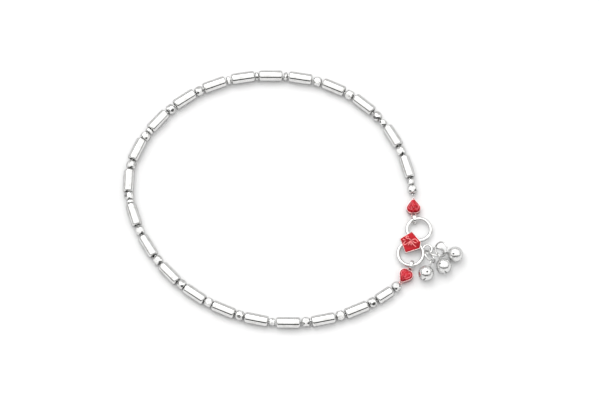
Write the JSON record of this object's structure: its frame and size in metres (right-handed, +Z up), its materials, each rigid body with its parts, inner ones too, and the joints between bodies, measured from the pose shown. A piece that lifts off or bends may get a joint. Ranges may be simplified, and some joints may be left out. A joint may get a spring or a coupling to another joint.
{
  "type": "payal anklet",
  "caption": "Chain anklet of tube beads and small spacer beads, with red enamel hearts, a flat S-hook under an enamel plate, and little bells on jump rings.",
  "frame": {"origin": "middle of the outline, on the surface that the anklet lies on", "axes": "+X towards the hook and bells, +Z up; the loop lies flat in XY"},
  "size_m": [0.0962, 0.0786, 0.0044],
  "materials": {
    "polished_silver": "bright polished silver plate",
    "red_enamel": "glossy see-through red enamel over textured metal"
  },
  "bodies": {
    "root": {"tube_bead_01": "polished_silver", "tube_bead_02": "polished_silver", "tube_bead_03": "polished_silver", "tube_bead_04": "polished_silver", "tube_bead_05": "polished_silver", "tube_bead_06": "polished_silver", "tube_bead_07": "polished_silver", "tube_bead_08": "polished_silver", "tube_bead_09": "polished_silver", "tube_bead_10": "polished_silver", "tube_bead_11": "polished_silver", "tube_bead_12": "polished_silver", "tube_bead_13": "polished_silver", "tube_bead_14": "polished_silver", "tube_bead_15": "polished_silver", "tube_bead_16": "polished_silver", "tube_bead_17": "polished_silver", "tube_bead_18": "polished_silver", "tube_bead_19": "polished_silver", "tube_bead_20": "polished_silver", "tube_bead_21": "polished_silver", "tube_bead_22": "polished_silver", "spacer_run_1": "polished_silver", "spacer_run_2": "polished_silver", "spacer_run_3": "polished_silver", "spacer_run_4": "polished_silver", "spacer_run_5": "polished_silver", "spacer_run_6": "polished_silver", "s_hook": "polished_silver", "heart_band_1": "polished_silver", "end_link_1": "polished_silver", "heart_band_2": "polished_silver", "end_link_2": "polished_silver", "bell_1": "polished_silver", "bell_pea_1": "polished_silver", "jump_ring_1": "polished_silver", "bell_2": "polished_silver", "bell_pea_2": "polished_silver", "jump_ring_2": "polished_silver", "bell_3": "polished_silver", "bell_pea_3": "polished_silver", "jump_ring_3": "polished_silver", "plate_enamel": "red_enamel", "heart_enamel_1": "red_enamel", "heart_enamel_2": "red_enamel"}
  },
  "joints": []
}
